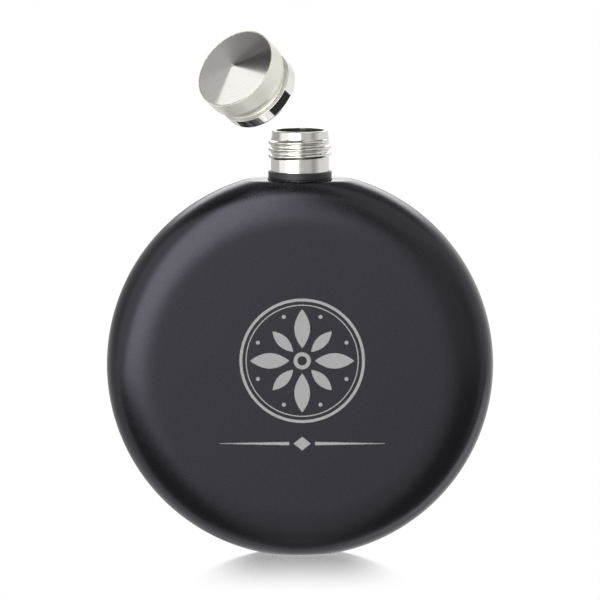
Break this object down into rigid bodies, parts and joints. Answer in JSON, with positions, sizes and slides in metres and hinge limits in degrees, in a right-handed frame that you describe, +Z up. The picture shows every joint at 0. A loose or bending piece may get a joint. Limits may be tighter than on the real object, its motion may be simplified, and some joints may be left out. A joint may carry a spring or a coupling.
{
  "type": "hip flask",
  "caption": "Round pocket flask: flat-faced disc body with crowned shoulders, short threaded neck and a turned screw cap held off to one side.",
  "frame": {"origin": "middle of the foot flat, on the seam between the two body halves", "axes": "+Z up along the neck axis, -Y out of the front face, +X to the right seen from the front"},
  "size_m": [0.108, 0.0433, 0.1476],
  "materials": {
    "front_shell": "matte black powder coat, fine orange peel",
    "rear_shell": "matte black powder coat, fine orange peel",
    "seam_weld": "powder coat over a ground weld",
    "neck_weld": "powder coat over a weld bead",
    "neck_collar": "black satin",
    "neck_tube": "polished stainless steel",
    "cap_gasket": "translucent white silicone",
    "cap_top_plate": "spun in circles",
    "cap_head": "satin turned",
    "cap_sleeve": "mirror polished"
  },
  "bodies": {
    "flask": {"front_shell": "front_shell", "rear_shell": "rear_shell", "seam_weld": "seam_weld", "neck_weld": "neck_weld", "neck_collar": "neck_collar", "neck_tube": "neck_tube"},
    "seal": {"cap_gasket": "cap_gasket"},
    "cap_top": {"cap_top_plate": "cap_top_plate"},
    "cap": {"cap_head": "cap_head", "cap_sleeve": "cap_sleeve"}
  },
  "joints": [
    {"name": "cap_swing", "type": "hinge", "parent": "flask", "child": "seal", "pos_m": [-0.01208, -0.01458, 0.10888], "axis": [0.77, -0.638, 0], "range_deg": [-56, 0]},
    {"name": "cap_lift", "type": "slide", "parent": "seal", "child": "cap_top", "axis": [-0.5289, -0.6384, 0.5592], "range_m": [-0.0114, 0]},
    {"name": "cap_twist", "type": "hinge", "parent": "cap_top", "child": "cap", "pos_m": [-0.01076, -0.01299, 0.13033], "axis": [-0.5289, -0.6384, 0.5592], "range_deg": [-2160.01, 0]}
  ],
  "couplings": [
    {"joint": "cap_twist", "follows": "cap_lift", "rad_per_m": 3306.9}
  ]
}
